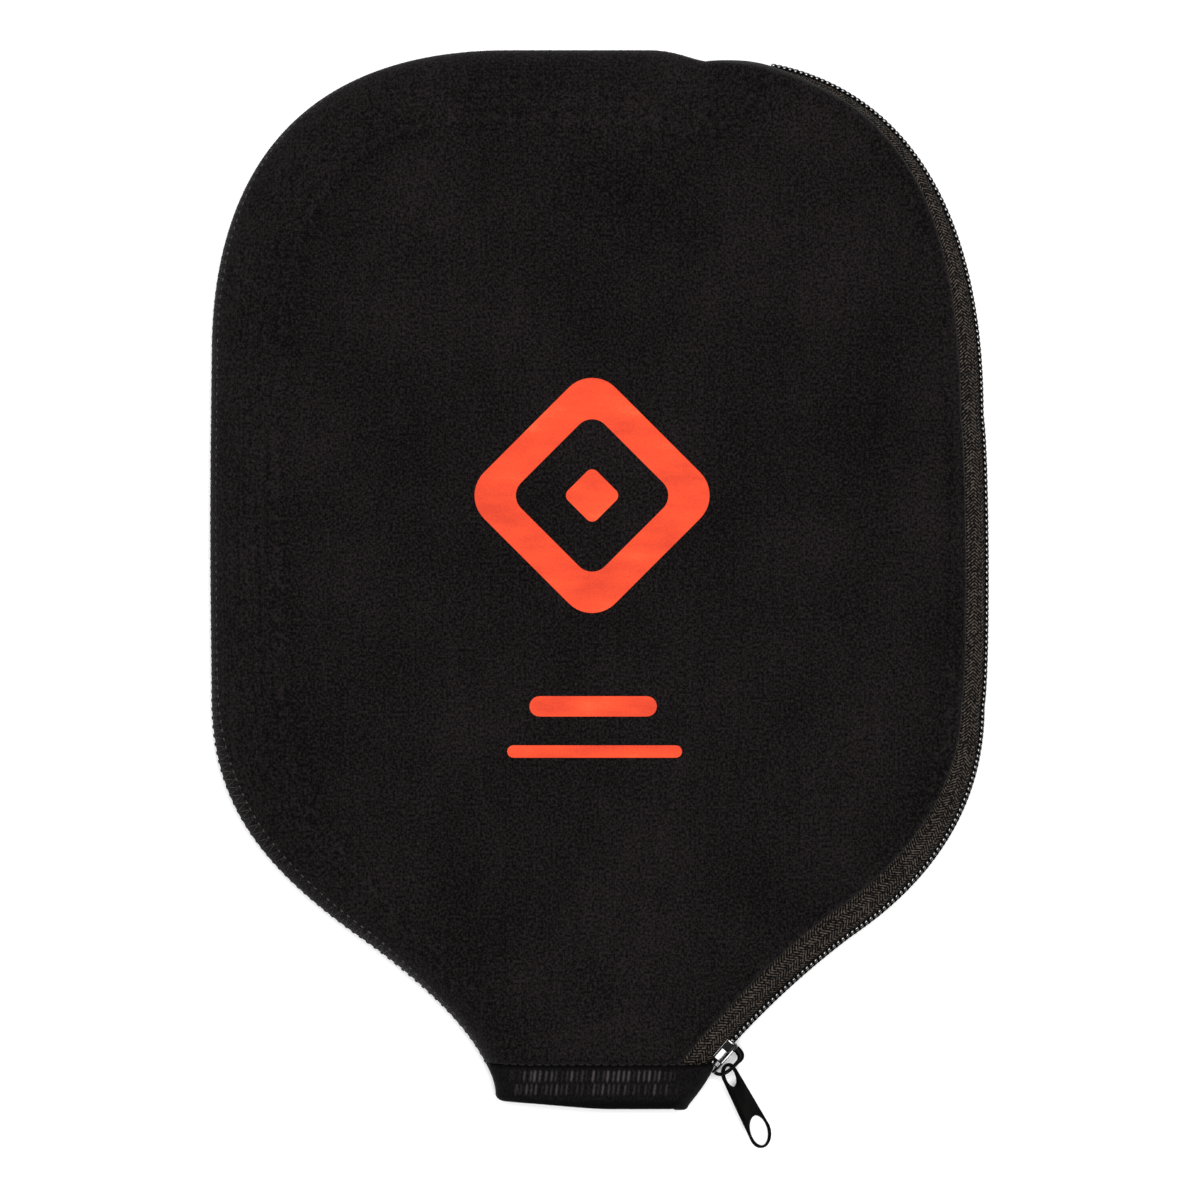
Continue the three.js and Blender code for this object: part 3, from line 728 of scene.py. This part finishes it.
def build_cuff(name, node, front):
    """Half of the ribbed mouth, as a closed sheet with rounded ends."""
    groove, hem = [0, 0.015, 0.05, 0.1], [0.9, 0.935, 0.96, 0.98, 0.993, 1.0]
    rows = np.concatenate([groove, np.linspace(0.14, 0.86, 22), hem])
    left_side, right_side = np.linspace(0, 0.14, 16)[:-1], np.linspace(0.93, 1, 12)[1:]
    across = np.concatenate([left_side, np.linspace(0.14, 0.93, 250), right_side])
    v, u = np.meshgrid(rows, across, indexing="ij")
    y = CUFF_START + v * (MOUTH + 0.1 - CUFF_START)
    left, right = cuff_sides(y)
    x = left + u * (right - left)
    end = -145.75 + 1.7 * (1 - smooth(x, -25, 4))
    y = CUFF_START + v * (end - CUFF_START)

    def shoulder(distance, width, inset):
        return quarter_round(distance * (width - inset) / width, width - inset)

    def skin(inset):
        """Plan x and height of a face this far inside the outer one."""
        near_left = shoulder(x - left, NECK_SHOULDER, inset)
        near_right = shoulder(right - x, ZIP_SHOULDER, inset)
        height = MID + GAP / 2 + (MID - GAP / 2 - inset) * near_left * near_right
        from_left = np.clip(1 - (x - left) / NECK_SHOULDER, 0, 1)
        from_right = np.clip(1 - (right - x) / ZIP_SHOULDER, 0, 1)
        return x + (from_left - from_right) * inset, height

    ox, oz = skin(0.0)
    ix, iz = skin(WALL)
    roll = quarter_round(np.abs(y - CUFF_START), 1.6) * quarter_round(np.abs(y - end), 1.7)
    middle, half = (oz + iz) / 2, (oz - iz) / 2
    oz = middle + half * rim_share(roll)
    iz = middle - half * rim_share(roll)
    # The hem curls under below the ribs.
    oz = oz - 0.9 * smooth(-y, 142.6, 146) * np.clip((oz - MID) / MID, 0, 1)
    top_share = np.clip((oz - MID) / MID, 0, 1)
    ridge = ribs(ox, y)
    between_rows = np.exp(-(((y + 138.4) / 0.35) ** 2))
    oz = oz + (0.32 * ridge - 0.08 * between_rows) * top_share * roll
    # A small tail of the binding sticks out at the corner.
    y = y - 0.5 * np.exp(-((x - 23.4) ** 2)) * smooth(v, 0.86, 1.0)
    outer = np.stack([ox, y, oz], -1).reshape(-1, 3)
    inner = np.stack([ix, y, iz], -1).reshape(-1, 3)
    n, m = v.shape
    count = n * m
    verts = np.vstack([outer, inner])
    faces = grid_faces(n, m) + [f[::-1] for f in grid_faces(n, m, start=count)]
    for r in range(n - 1):
        a, b = r * m, (r + 1) * m
        faces += [wall(a, b, count), wall(b + m - 1, a + m - 1, count)]
    for c in range(m - 1):
        a = (n - 1) * m + c
        faces += [wall(c + 1, c, count), wall(a, a + 1, count)]
    if not front:
        verts[:, 2] = np.maximum(THICKNESS - verts[:, 2], 0)  # the table flattens the ribs
    cuff = make_object(name, verts, faces, rib_knit_painted_light)
    # Painted light and shade in the ribs layer: rib crests lighter; the hem where it curls under,
    # the groove at the top and the whole inner face darker.
    dark = smooth(-y, 142.6, 144.6) + (1 - smooth(-y, -CUFF_START, -CUFF_START + 1.2))
    tone = np.stack([np.clip(ridge * 1.15, 0, 1), np.clip(dark, 0, 1)], -1).reshape(-1, 2)
    write_uv(cuff, "ribs", np.vstack([tone, np.tile([0, 1], (count, 1))]))
    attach(cuff, "case")
    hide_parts(node)


build_cuff("front_cuff_rib", "front_cuff", front=True)
build_cuff("back_cuff_rib", "back_cuff", front=False)


def cuff_stitches(name, node, front):
    """Short stitches down in the groove between panel and cuff."""
    paths = []
    left, right = -29.6, 27.0
    x = left + 3.0
    while x < right - 3:
        xs = np.linspace(x, x + 1.7, 5)
        rise = quarter_round(xs - left, NECK_SHOULDER) * quarter_round(right + 4 - xs, ZIP_SHOULDER)
        z = MID + (MID - 1.15) * rise + 0.18 * np.sin(np.linspace(0, math.pi, 5))
        ys = np.full(5, PANEL_END - 0.15) + rng.uniform(-0.06, 0.06)
        paths.append(np.stack([xs, ys, turned(z, front)], -1))
        x += 2.3
    thread = many_tubes(name, paths, 0.22, plain_yarn)
    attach(thread, "case")
    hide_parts(node)


cuff_stitches("cuff_stitches_front", "cuff_thread_front", front=True)
cuff_stitches("cuff_stitches_back", "cuff_thread_back", front=False)


# ---- Zip
zip_run = Side(zip_side.points, on_arc(edge_radius, np.linspace(ZIP_ARC_END, 142.6, 30))[1:])
PITCH = 1.59  # one loop of the coil
COIL_END = zip_side.length + 1.6
TAPE = 0.6
TAPE_DIP = 4.6  # the tape dips under its panel no nearer the edge than this
THREAD_HEIGHT = 16.28  # just under the sewn part of the tape
COIL_MIDDLE, COIL_REACH = 11.28, 1.46  # middle and half height of the front coil's loops
CREST = 12.62  # loops are shiny above this


def leaned(s, inset, height, front, share=1.0):
    """A section point of one half, leaned with the chain as one rigid strip."""
    height = turned(height, front)
    return inset + (lean(s, inset, height) - inset) * share, height


def build_tape(name, nodes, front):
    """Woven tape, from behind the coil up over the chain's side and in under the panel."""
    s = np.arange(COIL_START - 0.5, zip_run.length - 1, 1.5)
    wide = np.maximum(bare_width(s), TAPE_DIP)
    edge = 1.4 + 0 * s
    slot = edge + 0.15 + 0.7 * smooth(s, zip_side.length - 50, zip_side.length - 20)
    under = THICKNESS - WALL - 0.8 - TAPE / 2
    # Inset, height and share of the chain's lean of each point of the section.
    knots = [
        (edge, 10.35, 1.0),
        (edge, 12.1, 1.0),
        (slot, 13.4, 0.9),
        (slot + (wide - slot) * 0.3, 14.65, 0.5),
        (slot + (wide - slot) * 0.66, 15.5, 0.15),
        (wide + 0.4, under, 0.0),
        (wide + 3, under + 0.85, 0.0),
        (wide + 5.85, under + 0.85, 0.0),
    ]
    leans = [leaned(s, inset, height + 0 * s, front, share) for inset, height, share in knots]
    line = np.stack([np.stack(pair, -1) for pair in leans], 1)
    # Smooth the section's line, then give it a thickness.
    fine = np.linspace(0, len(knots) - 1, 22)
    k = np.clip(fine.astype(int), 0, len(knots) - 2)
    t = (fine - k)[None, :, None]
    p0, p1 = line[:, np.maximum(k - 1, 0)], line[:, k]
    p2, p3 = line[:, k + 1], line[:, np.minimum(k + 2, len(knots) - 1)]
    bend, twist = 2 * p0 - 5 * p1 + 4 * p2 - p3, 3 * p1 - p0 - 3 * p2 + p3
    mid = 0.5 * (2 * p1 + (p2 - p0) * t + bend * t**2 + twist * t**3)
    d = unit(np.gradient(mid, axis=1))
    normal = np.stack([-d[..., 1], d[..., 0]], -1)
    ring = np.concatenate([mid + normal * TAPE / 2, (mid - normal * TAPE / 2)[:, ::-1]], 1)
    run = np.cumsum(np.linalg.norm(np.diff(mid, axis=1), axis=2), 1)
    run = np.concatenate([np.zeros((len(s), 1)), run], 1)
    weave = np.concatenate([run, run[:, ::-1]], 1)
    along = np.repeat(s[:, None], ring.shape[1], 1)
    tape = sweep(name, zip_run.place(along, ring[..., 0], ring[..., 1]), webbing)
    write_uv(tape, "weave", np.stack([along, weave], -1).reshape(-1, 2) * MM)
    # The tape ends where the cuff begins.
    bm = bmesh.new()
    bm.from_mesh(tape.data)
    cut = bmesh.ops.bisect_plane(
        bm,
        geom=bm.verts[:] + bm.edges[:] + bm.faces[:],
        plane_co=(0, (CUFF_TOP - 0.1) * MM, 0),
        plane_no=(0, -1, 0),
        clear_outer=True,
    )
    rim = [e for e in cut["geom_cut"] if isinstance(e, bmesh.types.BMEdge)]
    bmesh.ops.holes_fill(bm, edges=rim)
    bmesh.ops.triangulate(bm, faces=[f for f in bm.faces if len(f.verts) > 4])
    bm.to_mesh(tape.data)
    bm.free()
    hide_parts(*nodes)
    return tape


def build_coil(name, nodes, front):
    """Nylon monofilament wound in loops round a filler cord."""
    loops = int((COIL_END - COIL_START) / PITCH)
    steps, around = 16, 12
    turn = np.arange(loops * steps + 1) / steps
    phase = 2 * math.pi * turn
    # The loops of one half stand between the loops of the other.
    s = COIL_START + 0.4 + PITCH * (turn + (0.0 if front else 0.5))
    inset = COIL_INSET + 0.36 * squared(np.cos(phase), 0.3)
    height = COIL_MIDDLE + COIL_REACH * squared(np.sin(phase), 0.3)
    broad = 0.3 + 0.2 * smooth(height, 10.5, 11.2)
    # Faces of the flanks, which get the lighter colour of painted sheen.
    painted_sheen_flank = np.repeat((height[:-1] < CREST) | (np.cos(phase[:-1]) < -0.4), around)
    inset, height = leaned(s, inset, height, front)
    path = zip_run.place(s, inset, height)
    # The wire is flattened: broad along the zip, thin across it.
    along_zip = zip_run.place(s + 0.5, inset, height) - zip_run.place(s - 0.5, inset, height)
    way = unit(np.gradient(path, axis=0))
    major = unit(along_zip - way * (along_zip * way).sum(1, keepdims=True))
    minor = np.cross(way, major)
    angles = round_angles(around)[None, :, None]
    wide = squared(np.cos(angles), 0.8) * (major * broad[:, None])[:, None]
    wire = path[:, None] + wide + squared(np.sin(angles), 0.8) * 0.27 * minor[:, None]
    verts, faces = [], []
    add_tube(verts, faces, wire)
    wound = len(faces)
    # The cord is drawn out between the loops lower down.
    along = np.arange(COIL_START + 0.2, COIL_END, 1.2)
    cord_inset = COIL_INSET + 0.02 - 0.14 * smooth(along, 205, 262)
    inset, height = leaned(along, cord_inset, 11.4 + 0 * along, front)
    add_tube(verts, faces, tube_rings(zip_run.place(along, inset, height), 0.5, 7))
    coil = make_object(name, np.vstack(verts), faces, nylon)
    coil.data.materials.append(flank_nylon_painted_sheen)
    coil.data.materials.append(cord_yarn)
    # Crests are the first material; flanks and ends the second, painted lighter as a stand-in for
    # sheen; the cord the third.
    finish = np.concatenate([painted_sheen_flank.astype(int), [1, 1], np.full(len(faces) - wound, 2)])
    coil.data.polygons.foreach_set("material_index", finish.astype(np.int32))
    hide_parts(*nodes)
    return coil


def build_zip_thread(name, nodes, front):
    """Stitches that hold a tape to its panel."""
    paths = []
    for start in np.arange(COIL_START + 2, zip_side.length - 6, 2.6):
        s = start + np.linspace(0, 2.0, 4)
        dip = 0.12 * np.sin(np.linspace(0, math.pi, 4))
        inset = np.maximum(bare_width(s), TAPE_DIP) + 2.6
        paths.append(zip_run.place(s, inset, turned(THREAD_HEIGHT - dip, front)))
    thread = many_tubes(name, paths, 0.2, plain_yarn, sides=5)
    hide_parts(*nodes)
    return thread


bend_at_fold(build_tape("front_zip_webbing", ["front_zip_tape", "front_zip_tape_neck"], front=True))
bend_at_fold(build_coil("front_zip_coil", ["front_coil", "front_coil_neck"], front=True))
bend_at_fold(build_zip_thread("front_zip_stitches", ["front_zip_thread"], front=True))
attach(build_tape("back_zip_webbing", ["back_zip_tape"], front=False), "case")
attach(build_coil("back_zip_coil", ["back_coil"], front=False), "case")
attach(build_zip_thread("back_zip_stitches", ["back_zip_thread"], front=False), "case")


def dress(node, material, bevel=0.0):
    """Gives a CAD node its finish, and rounds its edges a little."""
    obj = nodes[node]
    obj.data.materials.clear()
    obj.data.materials.append(material)
    if bevel:
        modifier = obj.modifiers.new("rounded", "BEVEL")
        modifier.width = bevel * MM
        modifier.segments = 2
        modifier.limit_method = "ANGLE"


dress("zip_bottom_stop", nylon, bevel=0.4)
for part in ("emblem_frame", "emblem_core", "emblem_bar_upper", "emblem_bar_lower"):
    dress(part, film, bevel=0.08)


# ---- Slider and tab
def rounded(points, radius, steps=5):
    """A polygon's outline with its corners rounded."""
    points = [np.array(p, float) for p in points]
    out = []
    for i, p in enumerate(points):
        before, after = points[i - 1] - p, points[(i + 1) % len(points)] - p
        reach = min(radius, np.linalg.norm(before) * 0.45, np.linalg.norm(after) * 0.45)
        a = p + before / np.linalg.norm(before) * reach
        b = p + after / np.linalg.norm(after) * reach
        for t in np.linspace(0, 1, steps):
            out.append(a * (1 - t) ** 2 + 2 * p * t * (1 - t) + b * t**2)
    return out


def worked_out(obj):
    """The mesh an object comes to, with its curve settings or modifiers."""
    bpy.context.view_layer.update()
    graph = bpy.context.evaluated_depsgraph_get()
    return bpy.data.meshes.new_from_object(obj.evaluated_get(graph))


def plate(outlines, thickness, bevel, placing):
    """A flat plate with rounded edges, drawn in its own XY plane and then placed. Returns a mesh."""
    curve = bpy.data.curves.new("plate", "CURVE")
    curve.dimensions = "2D"
    curve.fill_mode = "BOTH"
    curve.extrude = (thickness / 2 - bevel) * MM
    curve.bevel_depth = bevel * MM
    curve.bevel_resolution = 3
    curve.offset = -bevel * MM
    for outline in outlines:
        spline = curve.splines.new("POLY")
        spline.points.add(len(outline) - 1)
        for point, (x, y) in zip(spline.points, outline):
            point.co = (x * MM, y * MM, 0, 1)
        spline.use_cyclic_u = True
    holder = new_object("plate", curve)
    mesh = worked_out(holder)
    bpy.data.objects.remove(holder)
    bm = bmesh.new()
    bm.from_mesh(mesh)
    bmesh.ops.remove_doubles(bm, verts=bm.verts, dist=0.002 * MM)
    bmesh.ops.recalc_face_normals(bm, faces=bm.faces)
    bm.to_mesh(mesh)
    bm.free()
    mesh.transform(placing)
    return mesh


def matrix_of(x, y, z, origin):
    """Axes and an origin in millimetres as one matrix."""
    made = Matrix((x, y, z)).transposed().to_4x4()
    made.translation = Vector(origin) * MM
    return made


slider_angle = math.radians(SLIDER_AT - 180)
out_way = Vector((math.cos(slider_angle), math.sin(slider_angle), 0))
up_way = Vector((-math.sin(slider_angle), math.cos(slider_angle), 0))
slider_origin = (*on_arc(ZIP_TRACK_RADIUS, SLIDER_AT), MID)
slider_frame = matrix_of(out_way, up_way, (0, 0, 1), slider_origin)


def stood_at(x):
    """Places a plate drawn as (along the zip, up) so that it stands across the slider's x."""
    return slider_frame @ matrix_of((0, 1, 0), (0, 0, 1), (1, 0, 0), (x, 0, 0))


def laid_at(z):
    """Places a plate drawn as (out, along the zip) flat at a height z from the zip's middle."""
    return slider_frame @ matrix_of((1, 0, 0), (0, 1, 0), (0, 0, 1), (0, 0, z))


def join(name, meshes, material):
    """One solid from overlapping ones."""
    base = new_object(name, meshes[0])
    for mesh in meshes[1:]:
        other = new_object("tool", mesh)
        modifier = base.modifiers.new("join", "BOOLEAN")
        modifier.operation = "UNION"
        modifier.solver = "EXACT"
        modifier.object = other
        made = worked_out(base)
        base.modifiers.clear()
        base.data = made
        bpy.data.objects.remove(other)
    solid = base.data
    solid.name = name
    solid.materials.clear()
    solid.materials.append(material)
    solid.polygons.foreach_set("use_smooth", [True] * len(solid.polygons))
    solid.set_sharp_from_angle(angle=math.radians(40))
    return base


def slider_outline(wide, half=5.2):
    """A slider plate, blunt at its mouth and narrower at its tail."""
    upper = [(half, wide - 1.2), (half - 1.5, wide), (-half + 3, wide), (-half, 1.6)]
    lower = [(x, -y) for x, y in upper[::-1]]
    return rounded(lower[2:] + upper + lower[:2], 0.9)


def box(x0, x1, y0, y1, corner=0.4):
    return rounded([(x0, y0), (x1, y0), (x1, y1), (x0, y1)], corner)


def flange(upper):
    """The slider's folded edge: a slope with a flat pad in its middle and a lip at its mouth."""
    side = 1 if upper else -1
    slope = laid_at(3.25 * side) @ Matrix.Rotation(math.radians(13 * side), 4, "Y")
    return [
        plate([box(-1.15, 2.1, -1.7, 5.0)], 0.6, 0.14, slope),
        plate([box(-0.5, 1.45, -1.4, 1.95, 0.15)], 0.9, 0.08, laid_at(3.5 * side)),
        plate([box(-0.65, 1.3, 4.4, 4.9, 0.12)], 0.9, 0.1, laid_at(3.4 * side)),
    ]


# Half width, thickness, edge rounding and place across the track.
OUTER_PLATE, INNER_PLATE = (4.0, 0.62, 0.12, 2.19), (3.3, 1.0, 0.24, -3.05)
body_parts = [
    *(plate([slider_outline(w)], t, r, stood_at(x)) for w, t, r, x in (OUTER_PLATE, INNER_PLATE)),
    *flange(True),
    *flange(False),
    plate([box(-3.0, 2.0, -3.4, -1.2, 0.5)], 1.2, 0.2, laid_at(0)),
]
slider_body = join("slider_casting", body_parts, enamel)
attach(slider_body, "slider")
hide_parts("slider_body")

PLATE_FACE = 2.5  # outer face of the slider's outer plate
CROWN_HALF_WIDTH = 0.6
CROWN_LOW, CROWN_HIGH, CROWN_RISE, CROWN_PEAK = -5.0, 4.6, 3.4, 1.8


def crown_strip():
    """A bow of flat strip that thickens towards its upper foot."""

    def arch(count, *points):
        """A curve through points given as (share of the rise, place along the zip)."""
        return bezier(*((PLATE_FACE + CROWN_RISE * share, along) for share, along in points), count)

    low, high, peak = CROWN_LOW + 0.35, CROWN_HIGH - 0.5, (0.88, CROWN_PEAK)
    first = arch(18, (0, low), (0.70, low), (0.86, -2.2), peak)
    second = arch(16, peak, (0.9, CROWN_HIGH - 1.3), (0.72, high), (0, high))
    line = np.vstack([first, second[1:]])
    share = np.linspace(0, 1, len(line))
    thick = 0.5 + 0.5 * smooth(share, 0.42, 0.8)
    d = unit(np.gradient(line, axis=0))
    normal = np.stack([-d[:, 1], d[:, 0]], -1)
    angles = round_angles(16)
    rings = []
    for point, n, t in zip(line, normal, thick):
        flat = point + np.outer(squared(np.cos(angles), 0.9) * t, n)
        rings.append(np.column_stack([flat, squared(np.sin(angles), 0.9) * CROWN_HALF_WIDTH]))
    crown = sweep("slider_bow", np.array(rings), bow_enamel)
    crown.data.transform(slider_frame)
    crown.data.set_sharp_from_angle(angle=math.radians(50))
    return crown


crown = crown_strip()
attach(crown, "slider")
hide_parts("slider_crown")

TAB_LENGTH, TAB_BEHIND, TAB_THICKNESS = 26.8, 2.2, 0.8
TAB_EYE_HALF, TAB_END_HALF = 3.05, 4.3
TAB_EYE_HOLE, TAB_END_HOLE = (-1.3, 4.7, 4.3), (15.2, 23.95, 7.2)  # from, to, width
TAB_RELIEF = 0.24  # the raised middle stands out by this much, both faces together
HANG_OUT, HANG_ALONG = 5.15, -2.1  # where the tab hangs, out from the track and along it
TAB_TURN, TAB_DROOP, TAB_ROLL = -62.6, 15.5, -44  # degrees about Z, Y and X
tab_pivot = (
    slider_origin[0] + out_way.x * HANG_OUT + up_way.x * HANG_ALONG,
    slider_origin[1] + out_way.y * HANG_OUT + up_way.y * HANG_ALONG,
    MID,
)
tab_frame = Matrix.Translation(Vector(tab_pivot) * MM) @ (
    Matrix.Rotation(math.radians(TAB_TURN), 4, "Z")
    @ Matrix.Rotation(math.radians(TAB_DROOP), 4, "Y")
    @ Matrix.Rotation(math.radians(TAB_ROLL), 4, "X")
)


def oval(low, high, width, count=40):
    """An oval hole that reaches from low to high along the tab."""
    a = round_angles(count)
    return np.stack([(low + high) / 2 + (high - low) / 2 * np.cos(a), width / 2 * np.sin(a)], -1)


def tab_outline():
    """The tab's edge: a round eye end and a broader, round far end."""
    eye, end = TAB_EYE_HALF, TAB_END_HALF
    back = np.linspace(math.pi / 2, 3 * math.pi / 2, 26)
    front = np.linspace(-math.pi / 2, math.pi / 2, 30)
    return np.vstack([
        np.stack([eye - TAB_BEHIND + eye * np.cos(back), eye * np.sin(back)], -1),
        np.stack([TAB_LENGTH - TAB_BEHIND - end + end * np.cos(front), end * np.sin(front)], -1),
    ])


raised = rounded([(5.1, -2.2), (6.5, 2.5), (14.4, 3.3), (14.4, -3.3)], 0.3)
tab = join("pull_tab_plate", [
    plate([tab_outline(), oval(*TAB_EYE_HOLE), oval(*TAB_END_HOLE)], TAB_THICKNESS, 0.2, tab_frame),
    plate([raised], TAB_THICKNESS + TAB_RELIEF, 0.06, tab_frame),
], bow_enamel)
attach(tab, "pull_tab")
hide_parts("pull_tab")


# ---- Floor, light and camera
def stage():
    """A pale floor just under the case."""
    shader = Shader("pale_floor", 0.6, 0.2)
    shader.mottle((30, 30, 30), 4.0, (0.3, (0.9, 0.9, 0.9, 1)), (0.7, (0.93, 0.93, 0.93, 1)))
    half, z = 4000, -0.05
    corners = [(-half, -half, z), (half, -half, z), (half, half, z), (-half, half, z)]
    floor = make_object("floor", corners, [[0, 1, 2, 3]], shader.material)


def area_light(name, size, power, place):
    """A round light aimed at the case's middle."""
    light = bpy.data.lights.new(name, "AREA")
    light.shape = "DISK"
    light.size = size
    light.energy = power
    obj = new_object(name, light)
    obj.location = place
    obj.rotation_euler = (-Vector(place)).to_track_quat("-Z", "Y").to_euler()
    obj.visible_camera = False


stage()
area_light("key", 1.0, 64, (0.05, 0.02, 2.2))
area_light("top_fill", 1.4, 15.5, (0.2, 1.5, 1.4))
world = bpy.data.worlds.new("studio")
world.use_nodes = True
background = world.node_tree.nodes["Background"]
background.inputs["Color"].default_value = (1, 1, 1, 1)
background.inputs["Strength"].default_value = 0.26
bpy.context.scene.world = world
bpy.context.scene.view_settings.view_transform = "Standard"

CAMERA_HEIGHT = 1.6  # above the seam
FRAME_WIDTH = 0.33156  # width of the picture at the seam's height
lens = bpy.data.cameras.new("camera")
lens.sensor_width = 36
lens.lens = lens.sensor_width * CAMERA_HEIGHT / FRAME_WIDTH
camera = new_object("camera", lens)
camera.location = (0.00028, -0.0058, MID * MM + CAMERA_HEIGHT)
bpy.context.scene.camera = camera
